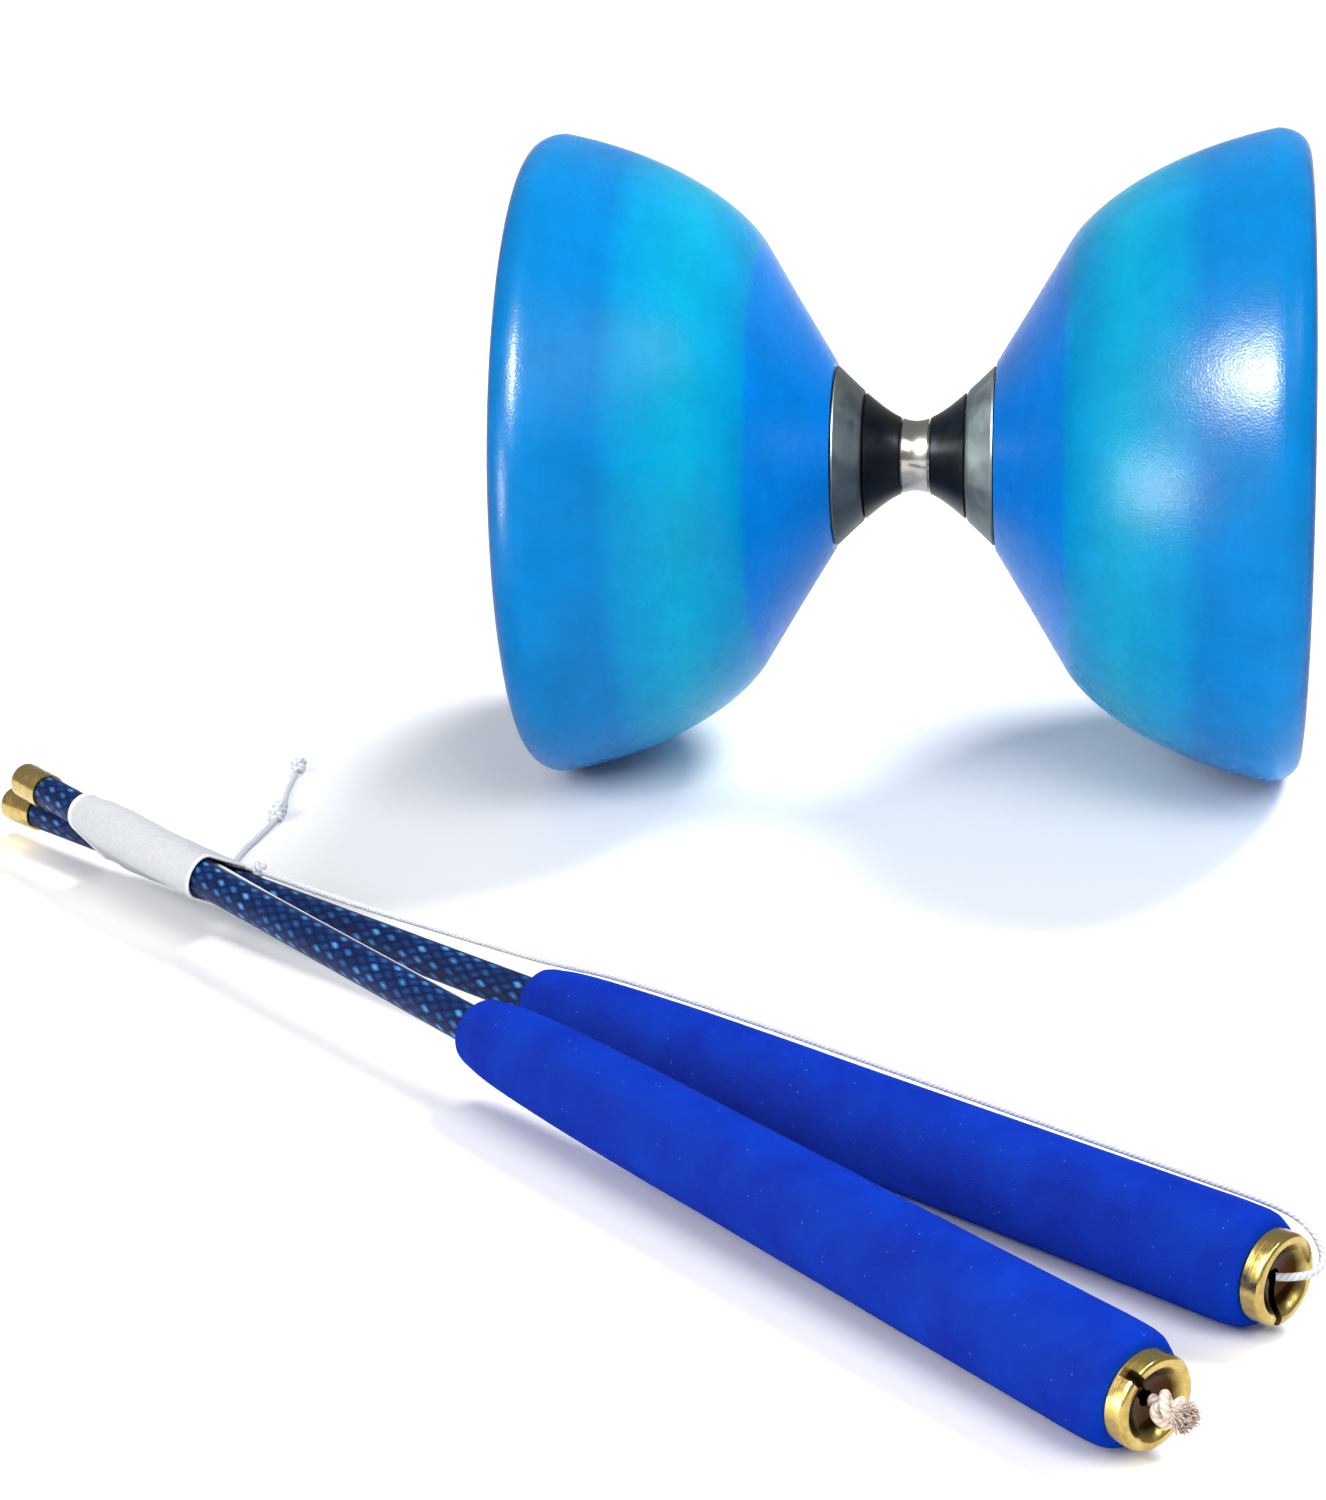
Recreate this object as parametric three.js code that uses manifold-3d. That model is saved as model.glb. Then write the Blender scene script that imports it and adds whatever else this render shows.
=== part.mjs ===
// A bearing diabolo with its pair of hand sticks and string.
// Millimetres, +Z up. The spool's axis runs along X. The sticks lie beside it on the same floor,
// crossed near their tips and held together there by a paper band over the wound string.
// The origin is the middle of the whole object's footprint, on the floor.
import * as THREE from "three";
import { ConvexGeometry } from "three/addons/geometries/ConvexGeometry.js";
import { mergeVertices } from "three/addons/utils/BufferGeometryUtils.js";
import Module from "manifold-3d";

const wasm = await Module();
wasm.setup();

// ---- Driving dimensions -------------------------------------------------------------------
const GAP = 0.3; // between two pieces that touch

// Spool: distances along its axis are measured from the middle of the barrel.
const CUP_RADIUS = 66;
const CUP_END = 78.2; // half the spool's length
const CUP_WALL = 3;
const CUP_FLOOR = 4.5;
const CREASE = { along: 31.4, radius: 44 }; // where the straight cone meets the bowl
const BOWL_PULLS = [[37, 52.4], [52, 61.8]]; // the two points that pull the bowl's curve outwards
const SHOULDER = { along: 71.9, radius: 61.2 }; // middle of the rim's rounding
const MOUTH_RADIUS = 60; // inside the rim's narrow end face
const WAIST_RADIUS = 7.2;
const WAIST_FLARE = 1.06; // slope that the waist's curve tends to
const BARREL_END = 2.65;
const CONE_END = 10.2;
const HUB_END = 16.2;
const ROD_RADIUS = 2.5;
const ROD_END = 30;
const BORE = ROD_RADIUS + GAP;
const BEARING_IN = 3.4; // a bearing's inner face and outer face, along the axis
const BEARING_OUT = 6.2;
const INNER_RING_RADIUS = 3.4;
const OUTER_RING_BORE = 4.7;
const SLEEVE_BORE = 5.6;
const SLEEVE_SHOULDER = 6.4;
const BALL_PITCH = 4.05;
const BALL_RADIUS = 0.5;
const BALLS = 7;
const ROLLERS = 8;
const NUT_ACROSS_FLATS = 8;
const NUT_HEIGHT = 4.6;
const WASHER_RADIUS = 11;
const WASHER_THICKNESS = 2;

// Sticks: distances along a stick are measured from its tip.
const STICK_LENGTH = 315;
const FERRULE_LENGTH = 9.5;
const FERRULE_RADIUS = 3.6;
const TUBE_TIP_RADIUS = 3.2;
const TUBE_RADIUS = 3.35;
const TUBE_BORE = 2.2;
const TUBE_END = 306;
const GRIP_START = 156.5;
const GRIP_END = 311.2;
const GRIP_RADIUS = 9.2;
const CAP_RADIUS = 7.1;
const CAP_SLOT = 1.6;
const BAND_START = 28.4;
const BAND_END = 72.5;
const BAND_SKEW = 4; // the band ends this much sooner on the rear stick
const BAND_SHOULDERS = [37.5, 62.5]; // between these the band lies over the wound string
const BAND_RADII = { start: 4, middle: 4.8, end: 4.5 };
const PAPER = 0.35;
const STRING = 1.2; // diameter
const WINDING = { start: 39.5, end: 59.5, inner: 3.45, outer: 4.3 };

// Where the pieces lie, from the floor point under the middle of the spool.
const FRONT = { tip: [-175.6, -60, 14.7], cap: [51.2, -279.6, GRIP_RADIUS + 0.1], slotTurn: 2.2 };
const REAR = { tip: [-181.4, -51.6, 6.4], cap: [68.6, -242.1, GRIP_RADIUS + 0.1], slotTurn: -1.9 };

// ---- Finishes -----------------------------------------------------------------------------
const finish = (color, roughness, metalness = 0) =>
  new THREE.MeshStandardMaterial({ color, roughness, metalness });
const cupBlue = () => finish(0x0c83d8, 0.4);
const hubGrey = () => finish(0x6f8080, 0.45, 0.6);
const coneBlack = () => finish(0x16181a, 0.4, 0.6);
const steel = () => finish(0xd8d6cf, 0.2, 1);
const zinc = () => finish(0xa8abae, 0.4, 0.9);
const brass = () => finish(0xc9a94b, 0.28, 1);
const braid = () => finish(0x17336f, 0.35, 0.1);
const foam = () => finish(0x0a2bd0, 0.9);
const paper = () => finish(0xe2e5ea, 0.8);
const cord = () => finish(0xeef0f2, 0.85);

// ---- Geometry helpers ---------------------------------------------------------------------
const group = new THREE.Group();

function add(parent, name, geometry, material) {
  const mesh = new THREE.Mesh(geometry, material);
  mesh.name = name;
  parent.add(mesh);
  return mesh;
}

// A closed outline of [along, radius] points turned round the X axis, with a flat facing down.
function turned(outline, sides) {
  const next = (i) => outline[(i + 1) % outline.length];
  const area = outline.reduce((sum, [a, r], i) => sum + a * next(i)[1] - next(i)[0] * r, 0);
  const loop = area < 0 ? outline : [...outline].reverse();
  const points = [...loop, loop[0]].map(([along, radius]) => new THREE.Vector2(radius, along));
  return new THREE.LatheGeometry(points, sides, Math.PI / sides).rotateZ(-Math.PI / 2);
}

function ring(from, to, inner, outer, sides) {
  return turned([[from, inner], [from, outer], [to, outer], [to, inner]], sides);
}

function solidOf(geometry) {
  const bare = geometry.clone();
  for (const name of ["normal", "uv"]) bare.deleteAttribute(name);
  const merged = mergeVertices(bare, 1e-4);
  const triVerts = new Uint32Array(merged.index.array);
  return new wasm.Manifold(
    new wasm.Mesh({ numProp: 3, vertProperties: merged.attributes.position.array, triVerts }),
  );
}

function geometryOf(solid) {
  const { vertProperties, triVerts } = solid.getMesh();
  const geometry = new THREE.BufferGeometry();
  geometry.setAttribute("position", new THREE.BufferAttribute(vertProperties, 3));
  geometry.setIndex(new THREE.BufferAttribute(triVerts, 1));
  const flat = geometry.toNonIndexed();
  flat.computeVertexNormals();
  return flat;
}

const joined = (geometries) =>
  geometryOf(geometries.map(solidOf).reduce((whole, piece) => whole.add(piece)));
const cut = (body, tool) => geometryOf(solidOf(body).subtract(solidOf(tool)));

// A round tube through the points, of one diameter, with flat ends.
function tube(points, diameter, step, sides = 8) {
  const curve = new THREE.CatmullRomCurve3(points);
  const section = new THREE.Shape();
  for (let i = 0; i < sides; i++) {
    const turn = (i / sides) * 2 * Math.PI;
    const x = (diameter / 2) * Math.cos(turn);
    const y = (diameter / 2) * Math.sin(turn);
    if (i) section.lineTo(x, y);
    else section.moveTo(x, y);
  }
  const steps = Math.ceil(curve.getLength() / step);
  return new THREE.ExtrudeGeometry(section, { steps, extrudePath: curve });
}

// ---- Spool --------------------------------------------------------------------------------
const spool = new THREE.Group();
spool.position.z = CUP_RADIUS;
group.add(spool);

// The waist is one smooth hollow curve over the barrel, the cone washers and the hub rings.
const waist = (along) => Math.hypot(WAIST_RADIUS, WAIST_FLARE * along);

const stations = (from, to, count) =>
  Array.from({ length: count + 1 }, (_, i) => from + ((to - from) * i) / count);

function cupOutline() {
  const hub = HUB_END + GAP;
  const bowl = new THREE.CubicBezierCurve(
    new THREE.Vector2(CREASE.along, CREASE.radius),
    ...BOWL_PULLS.map(([along, radius]) => new THREE.Vector2(along, radius)),
    new THREE.Vector2(SHOULDER.along, CUP_RADIUS),
  ).getPoints(6);
  const reach = CUP_END - SHOULDER.along;
  const rise = CUP_RADIUS - SHOULDER.radius;
  const rim = new THREE.EllipseCurve(SHOULDER.along, SHOULDER.radius, reach, rise, Math.PI / 2, 0, true)
    .getPoints(3)
    .slice(1);
  const outside = [new THREE.Vector2(hub, waist(hub) + 0.5), ...bowl];
  const inside = outside.map((point, i) => {
    const before = outside[Math.max(i - 1, 0)];
    const after = outside[Math.min(i + 1, outside.length - 1)];
    const along = after.clone().sub(before).normalize();
    return point.clone().add(new THREE.Vector2(along.y, -along.x).multiplyScalar(CUP_WALL));
  });
  const floor = hub + CUP_FLOOR;
  const slope = (inside[1].y - inside[0].y) / (inside[1].x - inside[0].x);
  inside[0] = new THREE.Vector2(floor, inside[0].y + slope * (floor - inside[0].x));
  return [
    [hub, BORE],
    ...[...outside, ...rim].map(({ x, y }) => [x, y]),
    [CUP_END, MOUTH_RADIUS],
    ...inside.reverse().map(({ x, y }) => [x, y]),
    [floor, BORE],
  ];
}

// A recess takes the sleeve's shoulder, and a low boss bears on the bearing's inner ring.
const RECESS_CLEARANCE = 0.5;
const BOSS_HEIGHT = 0.4;

function coneWasherOutline() {
  const lip = BARREL_END + GAP;
  const recess = BEARING_OUT + GAP;
  return [
    [lip, SLEEVE_SHOULDER + RECESS_CLEARANCE],
    ...stations(lip, CONE_END, 4).map((along) => [along, waist(along)]),
    [CONE_END, BORE],
    [recess, BORE],
    [recess, INNER_RING_RADIUS],
    [recess + BOSS_HEIGHT, INNER_RING_RADIUS + BOSS_HEIGHT],
    [recess + BOSS_HEIGHT, SLEEVE_SHOULDER + RECESS_CLEARANCE],
  ];
}

function hubRingOutline() {
  const start = CONE_END + GAP;
  const edge = 0.5; // chamfer
  return [
    [start, BORE],
    [start, waist(start) - edge],
    ...stations(start + edge, HUB_END - edge, 2).map((along) => [along, waist(along)]),
    [HUB_END, waist(HUB_END) - edge],
    [HUB_END, BORE],
  ];
}

function nut() {
  const corner = NUT_ACROSS_FLATS / Math.sqrt(3);
  const hexagon = new THREE.Shape();
  for (let i = 0; i < 6; i++) {
    const turn = (i * Math.PI) / 3;
    const x = corner * Math.cos(turn);
    const y = corner * Math.sin(turn);
    if (i) hexagon.lineTo(x, y);
    else hexagon.moveTo(x, y);
  }
  hexagon.holes.push(new THREE.Path().absarc(0, 0, BORE, 0, 2 * Math.PI, true));
  const body = new THREE.ExtrudeGeometry(hexagon, { depth: NUT_HEIGHT, bevelEnabled: false, curveSegments: 6 });
  return body.rotateY(Math.PI / 2);
}

function ballSet() {
  const middle = (BEARING_IN + BEARING_OUT) / 2;
  const reach = 0.7;
  const thickness = 0.2;
  const cage = ring(middle - reach, middle + reach, BALL_PITCH - thickness, BALL_PITCH + thickness, 2 * BALLS);
  const balls = stations(0, BALLS - 1, BALLS - 1).map((i) => {
    const turn = (i / BALLS) * 2 * Math.PI;
    const ball = new THREE.SphereGeometry(BALL_RADIUS, 6, 4);
    return ball.translate(middle, BALL_PITCH * Math.cos(turn), BALL_PITCH * Math.sin(turn));
  });
  return joined([cage, ...balls]);
}

// One half of the spool, on the +X side of the barrel. The other half is the same, turned round.
function half(side, turn) {
  const end = new THREE.Group();
  end.rotation.z = turn;
  spool.add(end);
  const washerStart = HUB_END + GAP + CUP_FLOOR + GAP;
  add(end, `${side}_cup`, turned(cupOutline(), 36), cupBlue());
  add(end, `${side}_hub_ring`, turned(hubRingOutline(), 28), hubGrey());
  add(end, `${side}_cone_washer`, turned(coneWasherOutline(), 24), coneBlack());
  const washerEnd = washerStart + WASHER_THICKNESS;
  const innerRing = ring(BEARING_IN, BEARING_OUT, BORE, INNER_RING_RADIUS, 20);
  const outerRing = ring(BEARING_IN, BEARING_OUT, OUTER_RING_BORE, SLEEVE_BORE - GAP, 20);
  add(end, `${side}_cup_washer`, ring(washerStart, washerEnd, BORE, WASHER_RADIUS, 20), zinc());
  add(end, `${side}_lock_nut`, nut(), zinc()).position.x = washerEnd + GAP;
  add(end, `${side}_bearing_inner_ring`, innerRing, steel());
  add(end, `${side}_bearing_outer_ring`, outerRing, steel());
  add(end, `${side}_bearing_ball_set`, ballSet(), steel());
}

function barrelSleeve() {
  const shoulder = BEARING_OUT;
  return turned(
    [
      [-shoulder, SLEEVE_BORE],
      [-shoulder, SLEEVE_SHOULDER],
      [-BARREL_END, SLEEVE_SHOULDER],
      ...stations(-BARREL_END, BARREL_END, 4).map((along) => [along, waist(along)]),
      [BARREL_END, SLEEVE_SHOULDER],
      [shoulder, SLEEVE_SHOULDER],
      [shoulder, SLEEVE_BORE],
    ],
    24,
  );
}

function clutchRollers() {
  const reach = BEARING_IN - 2 * GAP;
  const thickness = 0.15;
  const cage = ring(-reach, reach, BALL_PITCH - thickness, BALL_PITCH + thickness, 2 * ROLLERS);
  const rollers = stations(0, ROLLERS - 1, ROLLERS - 1).map((i) => {
    const turn = (i / ROLLERS) * 2 * Math.PI;
    const roller = new THREE.CylinderGeometry(BALL_RADIUS, BALL_RADIUS, 2 * (reach - GAP), 6);
    roller.rotateZ(Math.PI / 2);
    return roller.translate(0, BALL_PITCH * Math.cos(turn), BALL_PITCH * Math.sin(turn));
  });
  return joined([cage, ...rollers]);
}

half("right", 0);
half("left", Math.PI);
const clutchEnd = BEARING_IN - GAP;
const rod = new THREE.CylinderGeometry(ROD_RADIUS, ROD_RADIUS, 2 * ROD_END, 16).rotateZ(Math.PI / 2);
add(spool, "axle_rod", rod, zinc());
add(spool, "axle_spacer", ring(-clutchEnd, clutchEnd, BORE, INNER_RING_RADIUS, 20), steel());
add(spool, "barrel_sleeve", barrelSleeve(), steel());
add(spool, "clutch_shell", ring(-clutchEnd, clutchEnd, OUTER_RING_BORE, SLEEVE_BORE - GAP, 20), steel());
add(spool, "clutch_rollers", clutchRollers(), steel());

// ---- Hand sticks --------------------------------------------------------------------------
// In a stick's own frame X runs from tip to cap, Z is up and Y points to the spool's side.
function stickGroup({ tip, cap }) {
  const from = new THREE.Vector3(...tip);
  const axis = new THREE.Vector3(...cap).sub(from).normalize();
  const across = new THREE.Vector3(0, 0, 1).cross(axis).normalize();
  const up = axis.clone().cross(across);
  const stick = new THREE.Group();
  stick.position.copy(from);
  stick.quaternion.setFromRotationMatrix(new THREE.Matrix4().makeBasis(axis, across, up));
  group.add(stick);
  stick.updateMatrixWorld(true);
  return stick;
}

const PLUG_RADIUS = TUBE_BORE - GAP; // the ferrule's and the cap's spigots, inside the tube
const FERRULE_BORE = 1;
const FERRULE_SPIGOT_END = 16;
const ferruleOutline = [
  [0, FERRULE_BORE],
  [0, 3],
  [0.7, FERRULE_RADIUS],
  [FERRULE_LENGTH, FERRULE_RADIUS],
  [FERRULE_LENGTH, PLUG_RADIUS],
  [FERRULE_SPIGOT_END, PLUG_RADIUS],
  [FERRULE_SPIGOT_END, FERRULE_BORE],
];

const tubeOutline = [
  [FERRULE_LENGTH + GAP, TUBE_BORE],
  [FERRULE_LENGTH + GAP, TUBE_TIP_RADIUS],
  [GRIP_START, TUBE_RADIUS],
  [TUBE_END, TUBE_RADIUS],
  [TUBE_END, TUBE_BORE],
];

const gripOutline = [
  [GRIP_START, TUBE_RADIUS + GAP],
  [GRIP_START, 4.9],
  [GRIP_START + 1, 5.9],
  [GRIP_START + 3.5, 6.4],
  [GRIP_START + 8, 7],
  [GRIP_START + 20, 7.65],
  [GRIP_START + 36, 8.1],
  [GRIP_END - 6, GRIP_RADIUS],
  [GRIP_END - 2, 8.9],
  [GRIP_END - 0.6, 8.2],
  [GRIP_END, 7.4],
  [GRIP_END, TUBE_RADIUS + GAP],
];

// The cap is a shallow dish on a spigot, with a hole and a slot for the string.
const CAP_SPIGOT_START = TUBE_END - 12;
const CAP_HOLE_RADIUS = 1.2;

function endCap(slotTurn) {
  const back = GRIP_END + GAP;
  const outline = [
    [CAP_SPIGOT_START, CAP_HOLE_RADIUS],
    [CAP_SPIGOT_START, PLUG_RADIUS],
    [back, PLUG_RADIUS],
    [back, 6.9],
    [back + 0.3, CAP_RADIUS],
    [STICK_LENGTH - 1, CAP_RADIUS],
    [STICK_LENGTH - 0.3, 6.8],
    [STICK_LENGTH, 6.1],
    [STICK_LENGTH - 0.3, 5.3],
    [STICK_LENGTH - 1.6, 4.4],
    [STICK_LENGTH - 2.3, 2.6],
    [STICK_LENGTH - 2.4, CAP_HOLE_RADIUS],
  ];
  const slotLength = CAP_RADIUS + 1;
  const slot = new THREE.BoxGeometry(6, slotLength, CAP_SLOT);
  slot.translate(STICK_LENGTH, slotLength / 2 + 0.6, 0).rotateX(slotTurn);
  return cut(turned(outline, 18), slot);
}

const sticks = {};
for (const [side, place] of Object.entries({ front: FRONT, rear: REAR })) {
  const stick = stickGroup(place);
  sticks[side] = stick;
  add(stick, `${side}_tip_ferrule`, turned(ferruleOutline, 16), brass());
  add(stick, `${side}_tube`, turned(tubeOutline, 16), braid());
  add(stick, `${side}_grip`, turned(gripOutline, 20), foam());
  add(stick, `${side}_end_cap`, endCap(place.slotTurn), brass());
}

// ---- Band and string ----------------------------------------------------------------------
const axisOf = (stick) => new THREE.Vector3(1, 0, 0).transformDirection(stick.matrixWorld);
const bothAxes = axisOf(sticks.front).add(axisOf(sticks.rear)).normalize();
const sharedStart = sticks.front.position.clone().add(sticks.rear.position).multiplyScalar(0.5);

// Where a stick's axis crosses the plane that lies `along` down the shared direction.
function crossing(stick, along) {
  const axis = axisOf(stick);
  const reach = along - stick.position.clone().sub(sharedStart).dot(bothAxes);
  return stick.position.clone().addScaledVector(axis, reach / axis.dot(bothAxes));
}

// Points of an outline that runs round both tubes at a distance from their axes.
function roundBoth(along, radius, skew) {
  const low = crossing(sticks.rear, along - skew);
  const high = crossing(sticks.front, along);
  const apart = high.clone().sub(low).normalize();
  const sideways = bothAxes.clone().cross(apart).normalize();
  return [high, low].flatMap((centre, end) =>
    stations(-Math.PI / 2, Math.PI / 2, 9).map((turn) => {
      const reach = radius * Math.cos(turn) * (end ? -1 : 1);
      const aside = radius * Math.sin(turn) * (end ? -1 : 1);
      return centre.clone().addScaledVector(apart, reach).addScaledVector(sideways, aside);
    }),
  );
}

const wrap = (rings) =>
  new ConvexGeometry(rings.flatMap(([along, radius, skew = 0]) => roundBoth(along, radius, skew)));

// The band's form, drawn in by `inset` and drawn out past both of its ends by `past`.
function bandForm(inset, past) {
  return wrap([
    [BAND_START - past, BAND_RADII.start - inset],
    ...BAND_SHOULDERS.map((along) => [along, BAND_RADII.middle - inset]),
    [BAND_END + past, BAND_RADII.end - inset, BAND_SKEW],
  ]);
}

const paperBand = () => cut(bandForm(0, 0), bandForm(PAPER, 1));

function stringWinding() {
  const { start, end, inner, outer } = WINDING;
  return cut(wrap([[start, outer], [end, outer]]), wrap([[start - 1, inner], [end + 1, inner]]));
}

add(group, "paper_band", paperBand(), paper());
add(group, "string_winding", stringWinding(), cord());

// Routes are hand-chosen points: [along the stick, towards the spool, up from its axis].
const REAR_RUN = [
  [79.6, 1.9, 3.8],
  [92, 2.1, 3.8],
  [104, 2.3, 3.95],
  [116, 2.6, 4.25],
  [128, 3, 4.6],
  [140, 3.4, 4.95],
  [152, 3.9, 5.35],
  [160, 4.4, 5.85],
  [168, 4.9, 6.45],
  [180, 5.2, 6.95],
  [205, 5.6, 7.35],
  [230, 6, 7.35],
  [255, 6.5, 7.25],
  [280, 7, 7.15],
  [300, 7.3, 7.1],
  [306, 7.5, 6.9],
  [309.5, 7.9, 6.3],
  [312, 8.2, 5.3],
  [313.8, 8.2, 4.1],
  [315.2, 7.9, 2.6],
  [316.2, 7.2, 1.2],
  [316.6, 5.8, 0.4],
  [316.3, 4, 0],
  [315.4, 2.2, 0],
  [314.2, 0.9, 0],
  [313, 0, 0],
];
const FRONT_RUN = [
  [69.5, 4.1, 0.9],
  [85, 4.15, 0.75],
  [105, 4.15, 0.7],
  [125, 4.2, 0.7],
  [143, 4.2, 0.7],
  [GRIP_START - GAP, 4.2, 0.7],
];
// The tail drops behind the rear stick and lies on the floor. Points are in the object's layout.
const TAIL = [
  [-119.6, -94.4, 11],
  [-120, -91.6, 9.6],
  [-120.9, -89.5, 6.8],
  [-122, -87.5, 3.8],
  [-123.4, -84.8, 1.6],
  [-125.9, -80.8, 0.9],
  [-129.6, -75.5, 0.9],
  [-131.2, -68.2, 0.9],
  [-131, -61, 0.9],
  [-129.9, -54, 0.9],
  [-128.9, -46.6, 0.9],
];
const TAIL_END = [
  [-128.6, -38.2, 0.9],
  [-129.4, -32.6, 0.9],
  [-130.2, -25.6, 0.9],
  [-130.6, -18, 0.9],
];

const vectors = (points) => points.map((point) => new THREE.Vector3(...point));
add(sticks.rear, "string_rear_run", tube(vectors(REAR_RUN), STRING, 5), cord());
add(sticks.front, "string_front_run", tube(vectors(FRONT_RUN), STRING, 8), cord());
add(group, "string_tail", tube(vectors(TAIL), STRING, 3), cord());
add(group, "string_tail_end", tube(vectors(TAIL_END), STRING, 3), cord());

// Knots, as plain closed forms of their real size.
function knot(parent, name, place, radii) {
  const form = new THREE.SphereGeometry(1, 8, 6);
  add(parent, name, form.scale(...radii), cord()).position.set(...place);
}
knot(sticks.rear, "string_hitch_knot", [77.4, 2, 4.4], [1.8, 1.4, 1.1]);
knot(group, "tail_double_knot", [-128.5, -42.4, 2.05], [1.9, 2.8, 1.8]);
knot(group, "tail_end_knot", [-130.4, -15.2, 2.05], [1.8, 2, 1.8]);
knot(sticks.front, "cap_knot", [318.2, 0.2, 0.2], [4.9, 3.1, 3.3]);

// ---- Origin -------------------------------------------------------------------------------
// Cords don't count: the origin is under the middle of what the spool and the sticks span.
const isCord = (name) => /^(string|tail|cap_knot)/.test(name);
group.updateMatrixWorld(true);
const span = new THREE.Box3();
group.traverse((piece) => {
  if (piece.isMesh && !isCord(piece.name)) span.expandByObject(piece, true);
});
const middle = span.getCenter(new THREE.Vector3());
group.position.set(-middle.x, -middle.y, -span.min.z);

export default group;
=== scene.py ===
"""Looks of the diabolo: the spool with its translucent cups, and its hand sticks with their string."""

import math

import bmesh
import bpy
from mathutils import Matrix, Vector, noise


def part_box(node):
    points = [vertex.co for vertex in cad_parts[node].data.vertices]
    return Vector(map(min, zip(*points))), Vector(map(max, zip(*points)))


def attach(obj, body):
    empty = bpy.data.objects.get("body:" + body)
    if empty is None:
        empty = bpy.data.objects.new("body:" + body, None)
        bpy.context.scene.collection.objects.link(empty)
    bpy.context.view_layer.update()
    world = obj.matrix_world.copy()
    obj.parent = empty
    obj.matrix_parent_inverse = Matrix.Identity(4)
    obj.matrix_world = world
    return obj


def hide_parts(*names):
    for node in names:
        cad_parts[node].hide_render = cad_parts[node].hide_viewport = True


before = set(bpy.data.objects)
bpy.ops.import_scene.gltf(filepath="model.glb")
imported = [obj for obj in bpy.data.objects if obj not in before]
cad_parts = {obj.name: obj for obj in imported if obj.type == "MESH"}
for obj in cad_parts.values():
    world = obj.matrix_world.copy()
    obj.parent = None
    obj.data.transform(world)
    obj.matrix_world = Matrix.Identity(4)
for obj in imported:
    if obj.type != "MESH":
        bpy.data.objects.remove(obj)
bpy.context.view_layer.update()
scene = bpy.context.scene
MM = 0.001

# ---- Driving dimensions, in millimetres, as in the CAD model -------------------------------
GAP = 0.3
CUP_WALL = 3
CUP_FLOOR = 4.5
CREASE = (31.4, 44)
WAIST_RADIUS = 7.2
WAIST_FLARE = 1.06
BARREL_END = 2.65
CONE_END = 10.2
HUB_END = 16.2
ROD_RADIUS = 2.5
ROD_END = 30
ROD_END_CHAMFER = 0.5
ROD_END_RADIUS = 1.9
THREAD_PITCH = 0.8
THREAD_DEPTH = 0.42
THREAD_START = HUB_END + 5
WASHER_RADIUS = 11
WASHER_THICKNESS = 2
NUT_HEIGHT = 4.6
NUT_FLATS = 8.0
NUT_CHAMFER = 0.35
BORE = ROD_RADIUS + GAP
SLEEVE_SHOULDER = 6.4
STICK_LENGTH = 315
GRIP_START = 156.5
GRIP_END = 311.2
GRIP_RADIUS = 9.2
TUBE_RADIUS = 3.35
TUBE_TIP_RADIUS = 3.2
TUBE_BORE = 2.2
TUBE_END = 306
FERRULE_LENGTH = 9.5
FERRULE_RADIUS = 3.6
FERRULE_STEM_END = 16
FERRULE_HOLE = 1.0
CAP_RADIUS = 7.1
CAP_RIM_RADIUS = 5.7
CAP_HOLE = 1.2
CAP_STEM = 12
CAP_SLOT = 1.6
STRING = 1.2

# ---- Places, from the frame -----------------------------------------------------------------
low_cup, high_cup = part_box("right_cup")
low_left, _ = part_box("left_cup")
SPOOL = Vector((low_left.x + high_cup.x, low_cup.y + high_cup.y, low_cup.z + high_cup.z)) / 2
CUP_END = (high_cup.x - low_left.x) / 2 / MM
CUP_RADIUS = (high_cup.z - low_cup.z) / 2 / MM
# The sticks are placed from the floor point under the spool's middle.
AXLE_HEIGHT = 66
LAYOUT = Vector((SPOOL.x, SPOOL.y, SPOOL.z - AXLE_HEIGHT * MM))


def stick_frame(tip, cap):
    """Matrix of a stick: X from tip to cap, Y towards the spool, Z up, origin at the tip.
    Both points are in millimetres from LAYOUT.
    """
    start = Vector(tip)
    axis = (Vector(cap) - start).normalized()
    across = Vector((0, 0, 1)).cross(axis).normalized()
    up = axis.cross(across)
    turn = Matrix((axis, across, up)).transposed().to_4x4()
    return Matrix.Translation(LAYOUT + start * MM) @ turn


CAP_HEIGHT = GRIP_RADIUS + 0.1  # the grips lie just clear of the floor
FRONT = stick_frame((-175.6, -60, 14.7), (51.2, -279.6, CAP_HEIGHT))
REAR = stick_frame((-181.4, -51.6, 6.4), (68.6, -242.1, CAP_HEIGHT))
SPOOL_RIGHT = Matrix.Translation(SPOOL)
SPOOL_LEFT = SPOOL_RIGHT @ Matrix.Rotation(math.pi, 4, "Z")

# ---- Camera ---------------------------------------------------------------------------------
CAMERA_PLACE = Vector((48.3, -714.1, 263.5)) * MM + LAYOUT
CAMERA_YAW = math.radians(8.2)
CAMERA_PITCH = math.radians(20)
CAMERA_ROLL = math.radians(-2)
CAMERA_LENS = 86.4  # mm, on a 36 mm sensor


def make_camera():
    data = bpy.data.cameras.new("camera")
    data.lens = CAMERA_LENS
    data.sensor_width = 36
    data.clip_start = 0.01
    data.clip_end = 20
    camera = bpy.data.objects.new("camera", data)
    scene.collection.objects.link(camera)
    aim = Matrix.Rotation(CAMERA_YAW, 4, "Z") @ Matrix.Rotation(math.pi / 2 - CAMERA_PITCH, 4, "X")
    camera.matrix_world = Matrix.Translation(CAMERA_PLACE) @ aim @ Matrix.Rotation(CAMERA_ROLL, 4, "Z")
    scene.camera = camera


make_camera()

# ---- Mesh helpers ---------------------------------------------------------------------------
HERE = Matrix.Identity(4)  # the place of a mesh that was built, or moved, to where it belongs


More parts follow.
